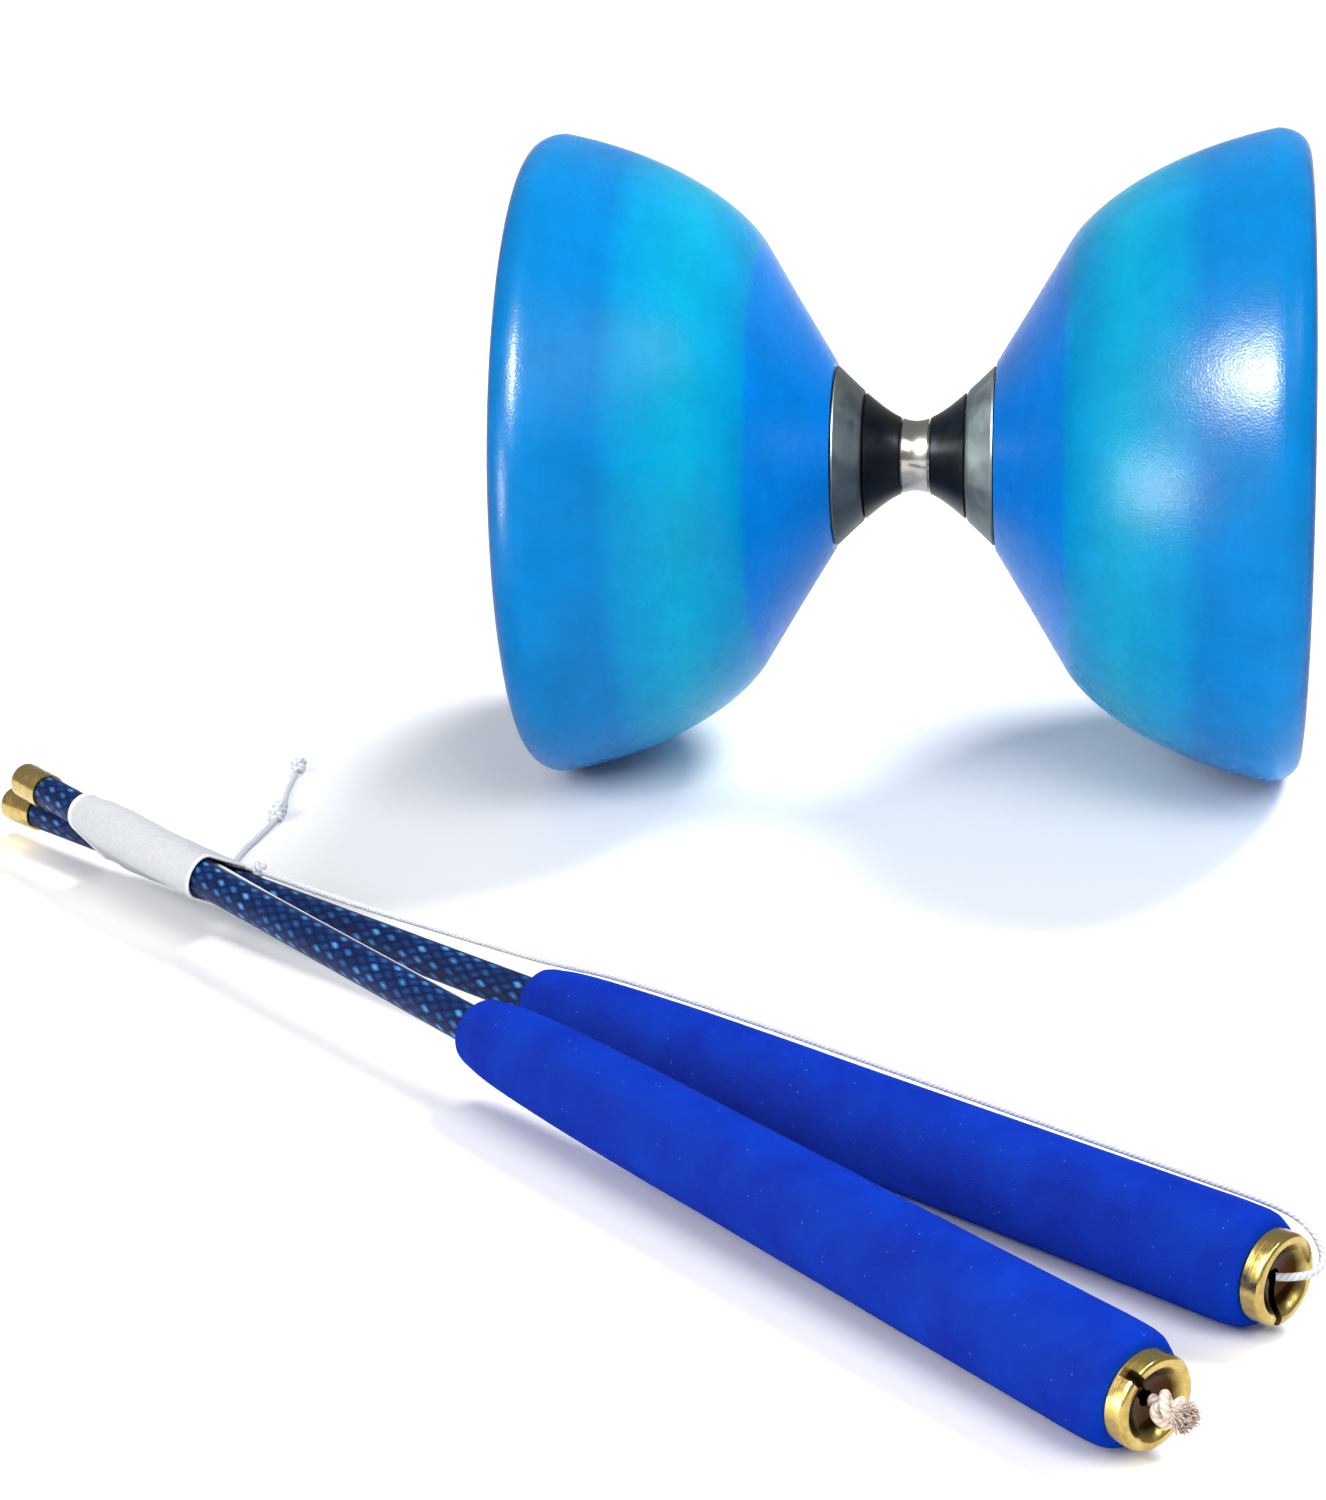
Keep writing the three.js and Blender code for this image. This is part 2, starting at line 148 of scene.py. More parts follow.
def piece(name, mesh, place, body, replaced, material, sharp=35):
    """A finished object: placed, shaded, riding on its body and standing for its CAD nodes."""
    obj = bpy.data.objects.new(name, mesh)
    scene.collection.objects.link(obj)
    obj.matrix_world = place
    for face in mesh.polygons:
        face.use_smooth = True
    if sharp:
        mesh.set_sharp_from_angle(angle=math.radians(sharp))
    mesh.materials.append(material)
    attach(obj, body)
    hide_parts(*replaced)
    return obj


def mesh_of(name, bm):
    bmesh.ops.recalc_face_normals(bm, faces=bm.faces)
    mesh = bpy.data.meshes.new(name)
    bm.to_mesh(mesh)
    bm.free()
    return mesh


def turns_round(sides):
    """The turns, in radians, of equally spaced points on a circle."""
    return [2 * math.pi * i / sides for i in range(sides)]


def bridge(bm, rings):
    """Quads between each ring of vertices and the next one."""
    for a, b in zip(rings, rings[1:]):
        for i in range(len(a)):
            j = (i + 1) % len(a)
            bm.faces.new((a[i], a[j], b[j], b[i]))


def turned(name, outline, sides):
    """A closed outline of (along, radius) points, in millimetres, turned round the X axis."""
    bm = bmesh.new()
    rings = []
    for along, radius in outline:
        ring = []
        for turn in turns_round(sides):
            y, z = radius * MM * math.sin(turn), radius * MM * math.cos(turn)
            ring.append(bm.verts.new((along * MM, y, z)))
        rings.append(ring)
    bridge(bm, rings + rings[:1])
    return mesh_of(name, bm)


def ring_at(bm, along, radius_at, sides):
    """One ring of vertices round the X axis, whose radius in millimetres depends on the turn."""
    ring = []
    for turn in turns_round(sides):
        radius = radius_at(turn)
        y, z = radius * MM * math.cos(turn), radius * MM * math.sin(turn)
        ring.append(bm.verts.new((along * MM, y, z)))
    return ring


STRAIGHT = math.radians(150)  # a corner that is more open than this is left as it is


def rounded(outline, radius, steps=4, keep=()):
    """The closed outline with each corner turned into an arc, except the corners in keep."""
    made = []
    for i, corner in enumerate(outline):
        here = Vector(corner)
        before = Vector(outline[i - 1]) - here
        after = Vector(outline[(i + 1) % len(outline)]) - here
        bend = before.angle(after, math.pi)
        if i in keep or bend > STRAIGHT:
            made.append(tuple(here))
            continue
        reach = min(radius, 0.45 * before.length, 0.45 * after.length)
        start = here + before.normalized() * reach
        end = here + after.normalized() * reach
        for k in range(steps + 1):
            t = k / steps
            made.append(tuple((1 - t) ** 2 * start + 2 * t * (1 - t) * here + t * t * end))
    return made


def smooth_line(points, step):
    """Points at about `step` apart on a centripetal Catmull-Rom curve through the points."""
    knots = [2 * points[0] - points[1]] + list(points) + [2 * points[-1] - points[-2]]
    line = []
    for p0, p1, p2, p3 in zip(knots, knots[1:], knots[2:], knots[3:]):
        t1 = math.sqrt((p1 - p0).length)
        t2 = t1 + math.sqrt((p2 - p1).length)
        t3 = t2 + math.sqrt((p3 - p2).length)
        count = max(1, round((p2 - p1).length / step))
        for k in range(count):
            t = t1 + (t2 - t1) * k / count
            a1 = (t1 - t) / t1 * p0 + t / t1 * p1
            a2 = (t2 - t) / (t2 - t1) * p1 + (t - t1) / (t2 - t1) * p2
            a3 = (t3 - t) / (t3 - t2) * p2 + (t - t2) / (t3 - t2) * p3
            b1 = (t2 - t) / t2 * a1 + t / t2 * a2
            b2 = (t3 - t) / (t3 - t1) * a2 + (t - t1) / (t3 - t1) * a3
            line.append((t2 - t) / (t2 - t1) * b1 + (t - t1) / (t2 - t1) * b2)
    return line + [points[-1]]


def tube_mesh(name, line, radius, sides=10, taper=0.0):
    """A round tube along the line, with closed ends and a UV map: U along it in metres, V round it.
    Its far end is thinner by the share given as taper.
    """
    bm = bmesh.new()
    uv = bm.loops.layers.uv.new("along")
    direction = (line[1] - line[0]).normalized()
    side = direction.orthogonal().normalized()
    rings = []
    lengths = [0.0]
    for a, b in zip(line, line[1:]):
        lengths.append(lengths[-1] + (b - a).length)
    for i, point in enumerate(line):
        ahead = (line[min(i + 1, len(line) - 1)] - line[max(i - 1, 0)]).normalized()
        side = direction.rotation_difference(ahead) @ side
        direction = ahead
        other = direction.cross(side)
        width = radius * (1 - taper * i / (len(line) - 1))
        ring = []
        for turn in turns_round(sides):
            ring.append(bm.verts.new(point + (side * math.cos(turn) + other * math.sin(turn)) * width))
        rings.append(ring)
    for i, (a, b) in enumerate(zip(rings, rings[1:])):
        for k in range(sides):
            j = (k + 1) % sides
            face = bm.faces.new((a[k], a[j], b[j], b[k]))
            corners = ((i, k), (i, k + 1), (i + 1, k + 1), (i + 1, k))
            for loop, (row, column) in zip(face.loops, corners):
                loop[uv].uv = (lengths[row], column / sides)
    bm.faces.new(list(reversed(rings[0])))
    bm.faces.new(rings[-1])
    return mesh_of(name, bm)


def joined(name, meshes):
    """Several meshes as one."""
    bm = bmesh.new()
    for mesh in meshes:
        bm.from_mesh(mesh)
        bpy.data.meshes.remove(mesh)
    mesh = bpy.data.meshes.new(name)
    bm.to_mesh(mesh)
    bm.free()
    return mesh


# ---- Material helpers -----------------------------------------------------------------------


class Look:
    """A Principled material with a few short ways to add nodes."""

    def __init__(self, name, **sockets):
        self.material = bpy.data.materials.new(name)
        self.material.use_nodes = True
        self.tree = self.material.node_tree
        self.shader = self.tree.nodes["Principled BSDF"]
        for socket, value in sockets.items():
            self.shader.inputs[socket.replace("_", " ")].default_value = value

    def node(self, kind, inputs=None, **settings):
        made = self.tree.nodes.new(kind)
        for key, value in settings.items():
            setattr(made, key, value)
        for key, value in (inputs or {}).items():
            if isinstance(value, bpy.types.NodeSocket):
                self.tree.links.new(value, made.inputs[key])
            else:
                made.inputs[key].default_value = value
        return made

    def math(self, operation, a, b=0.0, c=0.0):
        return self.node("ShaderNodeMath", {0: a, 1: b, 2: c}, operation=operation).outputs[0]

    def place(self, kind="Object"):
        return self.node("ShaderNodeTexCoord").outputs[kind]

    def split(self, vector):
        return self.node("ShaderNodeSeparateXYZ", {0: vector}).outputs

    def noise(self, vector, scale, detail=3.0, roughness=0.5):
        inputs = {"Vector": vector, "Scale": scale, "Detail": detail, "Roughness": roughness}
        return self.node("ShaderNodeTexNoise", inputs).outputs["Fac"]

    def cells(self, vector, scale):
        """The distance to the nearest of many scattered points."""
        return self.node("ShaderNodeTexVoronoi", {"Vector": vector, "Scale": scale}).outputs["Distance"]

    def radius(self, y, z):
        """The distance from the X axis."""
        squares = self.math("ADD", self.math("MULTIPLY", y, y), self.math("MULTIPLY", z, z))
        return self.math("SQRT", squares)

    def spread(self, value, low, high, to_low=0.0, to_high=1.0):
        """The value's range from low to high, drawn out to another range."""
        made = self.node(
            "ShaderNodeMapRange",
            {"Value": value, "From Min": low, "From Max": high, "To Min": to_low, "To Max": to_high},
        )
        return made.outputs["Result"]

    def ramp(self, value, stops):
        """A colour that runs in straight lines from stop to stop."""
        made = self.node("ShaderNodeValToRGB", {"Fac": value})
        made.color_ramp.interpolation = "LINEAR"
        elements = made.color_ramp.elements
        while len(elements) < len(stops):
            elements.new(0.5)
        for element, (position, color) in zip(elements, stops):
            element.position = position
            element.color = (*color, 1)
        return made.outputs["Color"]

    def mix(self, factor, a, b, blend="MIX"):
        made = self.node("ShaderNodeMix", data_type="RGBA", blend_type=blend)
        for key, value in ((0, factor), (6, a), (7, b)):
            if isinstance(value, bpy.types.NodeSocket):
                self.tree.links.new(value, made.inputs[key])
            elif key:
                made.inputs[key].default_value = (*value, 1)
            else:
                made.inputs[key].default_value = value
        return made.outputs[2]

    def scaled(self, vector, scale):
        return self.node("ShaderNodeMapping", {"Vector": vector, "Scale": scale}).outputs["Vector"]

    def bump(self, height, distance, strength=1.0, normal=None):
        inputs = {"Height": height, "Distance": distance, "Strength": strength}
        if normal:
            inputs["Normal"] = normal
        return self.node("ShaderNodeBump", inputs).outputs["Normal"]

    def use(self, socket, value):
        self.tree.links.new(value, self.shader.inputs[socket])


def around(look, place):
    """Angle round the X axis, from 0 to 1."""
    x, y, z = look.split(place)
    turn = look.math("ARCTAN2", y, z)
    return look.math("MULTIPLY_ADD", turn, 1 / (2 * math.pi), 0.5), x


# ---- Materials ------------------------------------------------------------------------------


CUP_ZONES_AND_GLOW = [  # the blue at each share of the way from the small end to the rim; the brighter bowl between 0.25 and 0.6 is a painted glow of light shining through the plastic
    (0.0, (0.0, 0.165, 0.56)),
    (0.235, (0.0, 0.180, 0.57)),
    (0.25, (0.0, 0.240, 0.50)),
    (0.42, (0.0, 0.325, 0.52)),
    (0.60, (0.0, 0.245, 0.50)),
    (0.675, (0.0, 0.172, 0.46)),
    (0.9, (0.0, 0.190, 0.50)),
    (0.975, (0.0, 0.160, 0.44)),
    (1.0, (0.0, 0.055, 0.21)),
]


def cup_look():
    """Translucent blue plastic: a deep blue cone, a bowl with a painted glow of light shining through
    it, and a bluer zone at the rim.
    """
    look = Look("cup_plastic", Roughness=0.36, IOR=1.49)
    look.shader.inputs["Specular IOR Level"].default_value = 0.07
    look.shader.inputs["Subsurface Weight"].default_value = 0.25
    look.shader.inputs["Subsurface Radius"].default_value = (0.1, 0.55, 1.0)
    look.shader.inputs["Subsurface Scale"].default_value = 0.008
    place = look.place()
    x = look.split(place)[0]
    cloud = look.noise(place, 28, 2)
    wander = look.math("MULTIPLY_ADD", cloud, 0.0016, -0.0008)
    along = look.spread(look.math("ADD", x, wander), 0.016, 0.0782)
    # Painted light: the bowl's brighter band is a glow of light through the plastic, painted into the
    # colour.
    zones_and_glow = look.ramp(along, CUP_ZONES_AND_GLOW)
    mottle = look.spread(look.noise(place, 60, 4, 0.6), 0.3, 0.7, 0.88, 1.1)
    marks = look.noise(look.scaled(place, (500, 30, 30)), 1, 3, 0.6)
    turned_marks = look.spread(marks, 0.25, 0.75, 0.97, 1.03)
    tone = look.math("MULTIPLY", mottle, turned_marks)
    tint = look.node("ShaderNodeCombineColor", {0: tone, 1: tone, 2: tone}).outputs[0]
    look.use("Base Color", look.mix(1.0, zones_and_glow, tint, "MULTIPLY"))
    fine = look.noise(place, 2600, 3)
    scuff = look.noise(place, 90, 4, 0.6)
    look.use("Roughness", look.spread(scuff, 0.3, 0.75, 0.25, 0.31))
    grain = look.bump(fine, 0.00006)
    look.use("Normal", look.bump(look.noise(place, 320, 2), 0.0001, 0.5, grain))
    return look.material


def turned_metal(name, color, roughness, grooves, depth, metallic=1.0):
    """Lathe-turned metal: fine rings round the X axis."""
    look = Look(name, Metallic=metallic, Roughness=roughness)
    place = look.place()
    x, y, z = look.split(place)
    profile = look.math("ADD", x, look.radius(y, z))
    rings = look.noise(look.node("ShaderNodeCombineXYZ", {0: profile}).outputs[0], grooves, 4, 0.6)
    patch = look.noise(place, 220, 3)
    uneven = look.math("ADD", rings, patch)
    look.use("Roughness", look.spread(uneven, 0.7, 1.3, roughness * 0.75, roughness * 1.3))
    darker = tuple(c * 0.82 for c in color)
    look.use("Base Color", look.mix(look.spread(rings, 0.3, 0.7), darker, color))
    look.use("Normal", look.bump(rings, depth))
    return look.material


def plain_metal(name, color, roughness):
    """Metal with no direction of its own, a little uneven."""
    look = Look(name, Metallic=1.0, Roughness=roughness)
    place = look.place()
    patch = look.noise(place, 300, 4)
    look.use("Roughness", look.spread(patch, 0.3, 0.7, roughness * 0.7, roughness * 1.4))
    look.use("Base Color", look.mix(patch, tuple(c * 0.75 for c in color), color))
    return look.material


def brass_look(name, dished):
    """Polished brass with faint turning marks and some tarnish; the dish of a cap has painted shade and
    dark reflection.
    """
    look = Look(name, Metallic=1.0, Roughness=0.16)
    place = look.place()
    tarnish = look.spread(look.noise(place, 420, 5, 0.6), 0.4, 0.75)
    color = look.mix(tarnish, (0.50, 0.375, 0.125), (0.30, 0.20, 0.05))
    # Painted shade and dark reflection: the inside of a cap's dish is coloured near black-brown.
    if dished:
        x, y, z = look.split(place)
        radius = look.radius(y, z)
        depth = look.spread(x, (STICK_LENGTH - 1.5) * MM, (STICK_LENGTH - 0.2) * MM, 1.0, 0.0)
        within = look.spread(radius, 5.3 * MM, 6.1 * MM, 1.0, 0.0)
        color = look.mix(look.math("MULTIPLY", depth, within), color, (0.035, 0.014, 0.003))
    look.use("Base Color", color)
    rings = look.noise(look.scaled(place, (5200, 90, 90)), 1, 3)
    look.use("Roughness", look.spread(look.math("ADD", rings, tarnish), 0.3, 1.4, 0.12, 0.34))
    look.use("Normal", look.bump(rings, 0.000015))
    return look.material


BRAID_STRANDS = 10  # diamonds round the tube
BRAID_CELL = 0.0042  # length of one diamond, in metres
BRAID_SHADES = [
    (0.0, (0.001, 0.006, 0.04)),
    (0.3, (0.003, 0.024, 0.115)),
    (0.65, (0.015, 0.10, 0.28)),
    (1.0, (0.10, 0.30, 0.60)),
]


def braid_look():
    """Woven fibre under clear resin: diagonal strands passing over and under each other, with painted
    shading on each strand and on the strands passing under.
    """
    look = Look("braided_tube", Roughness=0.4, Coat_Weight=0.03, Coat_Roughness=0.15)
    look.shader.inputs["Specular IOR Level"].default_value = 0.05
    turn, x = around(look, look.place())
    round_tube = look.math("MULTIPLY", turn, BRAID_STRANDS)
    down_tube = look.math("DIVIDE", x, BRAID_CELL)
    one_way = look.math("ADD", round_tube, down_tube)
    other_way = look.math("SUBTRACT", round_tube, down_tube)
    floor_a = look.math("FLOOR", one_way)
    floor_b = look.math("FLOOR", other_way)
    in_a = look.math("FRACT", one_way)
    in_b = look.math("FRACT", other_way)
    over = look.math("PINGPONG", look.math("ADD", floor_a, floor_b), 1.0)
    across_a = look.math("SINE", look.math("MULTIPLY", in_a, math.pi))
    across_b = look.math("SINE", look.math("MULTIPLY", in_b, math.pi))
    swell = look.math("MULTIPLY", across_a, across_b)
    cells = look.node("ShaderNodeCombineXYZ", {0: floor_a, 1: floor_b}).outputs[0]
    white = look.node("ShaderNodeTexWhiteNoise", {"Vector": cells}, noise_dimensions="3D")
    chance = white.outputs["Value"]

    def strand(across, along):
        """Painted shading: light along a strand's middle, and dark towards its sides and ends."""
        return look.math("MULTIPLY", look.math("POWER", across, 1.3), look.math("POWER", along, 0.5))

    # Painted shading: each strand light along its middle and dark at its sides, and the strands passing
    # under darker still.
    along_a = strand(across_a, across_b)
    along_b = strand(across_b, across_a)
    upper = look.math("MULTIPLY", along_a, over)
    lower = look.math("MULTIPLY", along_b, look.math("MULTIPLY_ADD", over, -0.45, 0.45))
    weave_tone_and_shade = look.math("ADD", upper, lower)
    weave_tone_and_shade = look.math("MULTIPLY", weave_tone_and_shade, look.spread(chance, 0, 1, 0.3, 1.1))
    fibres = look.noise(look.place(), 3800, 2)
    weave_tone_and_shade = look.math("MULTIPLY", weave_tone_and_shade, look.spread(fibres, 0.3, 0.7, 0.7, 1.15))
    look.use("Base Color", look.ramp(weave_tone_and_shade, BRAID_SHADES))
    look.use("Normal", look.bump(swell, 0.00012, 0.6))
    return look.material


def foam_look():
    """Closed-cell foam: matte royal blue with tiny cells and a few light specks."""
    look = Look("grip_foam", Roughness=0.9)
    look.shader.inputs["Specular IOR Level"].default_value = 0.02
    place = look.place()
    soft = look.spread(look.noise(place, 90, 4, 0.6), 0.3, 0.7)
    blue = look.mix(soft, (0.0, 0.016, 0.28), (0.0, 0.030, 0.37))
    light = look.spread(look.cells(place, 650.0), 0.06, 0.16, 1.0, 0.0)
    rare = look.spread(look.noise(place, 400, 2), 0.54, 0.62)
    dots = look.math("MULTIPLY", look.math("MULTIPLY", light, rare), 0.6)
    look.use("Base Color", look.mix(dots, blue, (0.04, 0.16, 0.7)))
    skin = look.bump(look.cells(place, 3000.0), 0.00009, 0.6)
    look.use("Normal", look.bump(look.noise(place, 260, 3), 0.00025, 0.5, skin))
    return look.material


def paper_look():
    """Soft off-white paper with faint fibres, and a painted highlight on its rolled rims."""
    look = Look("band_paper", Roughness=0.8)
    look.shader.inputs["Subsurface Weight"].default_value = 0.15
    look.shader.inputs["Subsurface Scale"].default_value = 0.0006
    place = look.place()
    fibre = look.noise(look.scaled(place, (500, 1400, 1400)), 1, 5, 0.65)
    paper = look.mix(look.spread(fibre, 0.3, 0.7), (0.32, 0.338, 0.365), (0.39, 0.403, 0.425))
    u = look.split(look.place("UV"))[0]
    from_middle = look.math("ABSOLUTE", look.math("SUBTRACT", u, 0.5))
    # Painted highlight: the rolled rims are coloured lighter than the paper.
    rim = look.spread(from_middle, 0.468, 0.478)
    look.use("Base Color", look.mix(rim, paper, (0.56, 0.57, 0.58)))
    look.use("Normal", look.bump(fibre, 0.00008, 0.7))
    return look.material


PLIES = 3
PLY_TURN = 2.4 * STRING * MM  # the length of string in which a ply goes once round


def string_look(name, light, dark):
    """Twisted string: plies run round it at a slant, with painted shade in the grooves between them."""
    look = Look(name, Roughness=0.75)
    u, v, _ = look.split(look.place("UV"))
    slant = look.math("ADD", look.math("MULTIPLY", u, 1 / PLY_TURN), v)
    ply = look.math("ABSOLUTE", look.math("SINE", look.math("MULTIPLY", slant, PLIES * math.pi)))
    fuzz = look.noise(look.place(), 4200, 3)
    tone = look.math("MULTIPLY", look.math("POWER", ply, 0.5), look.spread(fuzz, 0.3, 0.7, 0.85, 1.05))
    # Painted shade: the second colour darkens the grooves between the plies.
    look.use("Base Color", look.mix(tone, dark, light))
    relief = look.math("ADD", ply, look.math("MULTIPLY", fuzz, 0.4))
    look.use("Normal", look.bump(relief, 0.00012, 0.8))
    return look.material


CUP = cup_look()
HUB = turned_metal("hub_aluminium", (0.105, 0.124, 0.122), 0.45, 5200, 0.00002)
CONE = turned_metal("cone_aluminium", (0.014, 0.016, 0.017), 0.3, 6500, 0.00002, 0.85)
BARREL = turned_metal("polished_steel", (0.42, 0.40, 0.355), 0.19, 7000, 0.000004)
BEARING = plain_metal("bearing_steel", (0.62, 0.62, 0.62), 0.25)
PLATED = plain_metal("plated_steel", (0.48, 0.49, 0.51), 0.35)
BRASS = brass_look("brass", False)
CAP_BRASS = brass_look("cap_brass", True)
BRAID = braid_look()
FOAM = foam_look()
PAPER = paper_look()
# Each string's second colour is the painted shade in the grooves between its plies.
CORD = string_look("string_fibre", (0.60, 0.63, 0.67), (0.32, 0.35, 0.40))
FRAYED = string_look("frayed_fibre", (0.66, 0.54, 0.46), (0.33, 0.21, 0.15))

# ---- Spool ----------------------------------------------------------------------------------


def waist(along):
    """The radius of the spool's waist, a hyperbola, at a distance from its middle."""
    return math.hypot(WAIST_RADIUS, WAIST_FLARE * along)


def stations(start, end, count):
    """The ends of `count` equal steps from start to end."""
    return [start + (end - start) * i / count for i in range(count + 1)]


def bezier(points, count):
    """Points along a cubic curve with four control points."""
    a, b, c, d = (Vector(p) for p in points)
    return [
        (1 - t) ** 3 * a + 3 * t * (1 - t) ** 2 * b + 3 * t * t * (1 - t) * c + t**3 * d
        for t in stations(0, 1, count)
    ]


CUP_SHOULDER = 71.9  # where the bowl ends and its rolled rim starts
RIM_RADIUS = 61  # where the rolled rim meets the end face
CUP_HOLLOW = 14  # radius of the flat round the washer


def cup_outline():
    hub = HUB_END + GAP
    cone = [Vector(p) for p in ((hub, waist(hub) + 0.5), (24, 31.65))]
    bowl = bezier([CREASE, (37, 52.4), (52, 61.8), (CUP_SHOULDER, CUP_RADIUS)], 26)
    rim = []
    for turn in stations(math.pi / 2, 0, 9)[1:]:
        along = CUP_SHOULDER + (CUP_END - CUP_SHOULDER) * math.cos(turn)
        rim.append(Vector((along, RIM_RADIUS + (CUP_RADIUS - RIM_RADIUS) * math.sin(turn))))
    outside = cone + bowl
    inside = []
    for i, point in enumerate(outside):
        ahead = (outside[min(i + 1, len(outside) - 1)] - outside[max(i - 1, 0)]).normalized()
        inside.append(point + Vector((ahead.y, -ahead.x)) * CUP_WALL)
    floor = hub + CUP_FLOOR
    slope = (inside[1].y - inside[0].y) / (inside[1].x - inside[0].x)
    inside[0] = Vector((floor, inside[0].y + slope * (floor - inside[0].x)))
    lip = [(CUP_END, 60.4), (CUP_END - 0.5, 60.0)]
    shell = [tuple(p) for p in outside + rim] + lip + [tuple(p) for p in reversed(inside)]
    fillet = 0.6
    flat = [(floor + fillet, CUP_HOLLOW), (floor, CUP_HOLLOW - fillet), (floor, BORE)]
    return [(hub, BORE)] + shell + flat


def hub_outline():
    start = CONE_END + GAP
    edge = 0.35
    skin = [(along, waist(along)) for along in stations(start + edge, HUB_END - edge, 8)]
    near = [(start, BORE), (start, waist(start) - edge)]
    far = [(HUB_END, waist(HUB_END) - edge), (HUB_END, BORE)]
    return near + skin + far


def cone_outline():
    lip = BARREL_END + GAP
    skin = [(along, waist(along)) for along in stations(lip + 0.1, CONE_END - 0.15, 14)]
    recess = 6.5
    bearing_step = 3.4  # radius of the recess for the bearing's inner ring
    chamfer = 0.4
    return [
        (lip, SLEEVE_SHOULDER + 0.5),
        (lip, waist(lip) - 0.12),
        *skin,
        (CONE_END, waist(CONE_END) - 0.3),
        (CONE_END, BORE),
        (recess, BORE),
        (recess, bearing_step),
        (recess + chamfer, bearing_step + chamfer),
        (recess + chamfer, SLEEVE_SHOULDER + 0.5),
    ]


def barrel_outline():
    shoulder = 6.2
    bore = 5.6
    edge = 0.12
    skin = [(along, waist(along)) for along in stations(-BARREL_END + edge, BARREL_END - edge, 16)]
    return [
        (-shoulder, bore),
        (-shoulder, SLEEVE_SHOULDER),
        (-BARREL_END, SLEEVE_SHOULDER),
        (-BARREL_END, waist(BARREL_END) - edge),
        *skin,
        (BARREL_END, waist(BARREL_END) - edge),
        (BARREL_END, SLEEVE_SHOULDER),
        (shoulder, SLEEVE_SHOULDER),
        (shoulder, bore),
    ]


def nut_mesh(name, start):
    """A hexagon nut with chamfered corners and a bore."""
    bm = bmesh.new()
    corner = NUT_FLATS / math.sqrt(3)
    sides = 48

    def hexagon(share):
        def radius_at(turn):
            within = (turn % (math.pi / 3)) - math.pi / 6
            return min(NUT_FLATS / 2 / math.cos(within), corner * share)

        return radius_at

    rings = []
    top = NUT_HEIGHT - NUT_CHAMFER
    for along, share in ((0, 0.93), (NUT_CHAMFER, 1), (top, 1), (NUT_HEIGHT, 0.93)):
        rings.append(ring_at(bm, start + along, hexagon(share), sides))
    lead = 0.5
    bore = ((NUT_HEIGHT, BORE + lead), (NUT_HEIGHT - lead, BORE), (lead, BORE), (0, BORE + lead))
    for along, radius in bore:
        rings.append(ring_at(bm, start + along, lambda turn, radius=radius: radius, sides))
    bridge(bm, rings + rings[:1])
    return mesh_of(name, bm)


def thread_radius(along, turn):
    """The rod's radius: plain in the middle, with a rolled thread beyond it."""
    if abs(along) <= THREAD_START:
        return ROD_RADIUS
    phase = (along / THREAD_PITCH - turn / (2 * math.pi)) % 1
    return ROD_RADIUS - THREAD_DEPTH * (1 - abs(2 * phase - 1))


def rod_mesh(name):
    """The axle rod with a rolled thread on both ends."""
    bm = bmesh.new()
    sides = 24
    straight = ROD_END - ROD_END_CHAMFER
    rings = []
    for along in stations(-straight, straight, 740):
        rings.append(ring_at(bm, along, lambda turn: thread_radius(along, turn), sides))
    for end in (-ROD_END, ROD_END):
        ring = ring_at(bm, end, lambda turn: ROD_END_RADIUS, sides)
        bm.faces.new(ring)
        rings.insert(0 if end < 0 else len(rings), ring)
    bridge(bm, rings)
    return mesh_of(name, bm)


def make_spool():
    washer = HUB_END + GAP + CUP_FLOOR + GAP
    for side, place in (("right", SPOOL_RIGHT), ("left", SPOOL_LEFT)):
        def put(name, mesh, slot, material, node, sharp=35):
            piece(f"{side}_{name}", mesh, place, "spool", [f"{side}_{node}"], material, sharp)

        put("cup_shell", turned("cup_shell", cup_outline(), 180), "cup_plastic", CUP, "cup", 24)
        put("hub_collar", turned("hub_collar", hub_outline(), 128), "hub_aluminium", HUB, "hub_ring")
        put("cone", turned("cone", cone_outline(), 128), "cone_aluminium", CONE, "cone_washer")
        far = washer + WASHER_THICKNESS
        disc = rounded([(washer, BORE), (washer, WASHER_RADIUS), (far, WASHER_RADIUS), (far, BORE)], 0.5)
        put("plate_washer", turned("plate_washer", disc, 64), "plated_steel", PLATED, "cup_washer")
        put("nut", nut_mesh("nut", far + GAP), "plated_steel", PLATED, "lock_nut")
    barrel = turned("barrel", barrel_outline(), 128)
    piece("barrel", barrel, SPOOL_RIGHT, "barrel", ["barrel_sleeve"], BARREL)
    rod = rod_mesh("threaded_rod")
    piece("threaded_rod", rod, SPOOL_RIGHT, "spool", ["axle_rod"], PLATED)
    for name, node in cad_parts.items():
        if "bearing" in name or name in ("axle_spacer", "clutch_shell", "clutch_rollers"):
            node.data.materials.clear()
            node.data.materials.append(BEARING)


make_spool()

# ---- Hand sticks ----------------------------------------------------------------------------


def tube_radius(along):
    """The tube's outer radius, which grows from the tip to the grip."""
    share = min(1.0, max(0.0, (along - FERRULE_LENGTH) / (GRIP_START - FERRULE_LENGTH)))
    return TUBE_TIP_RADIUS + (TUBE_RADIUS - TUBE_TIP_RADIUS) * share


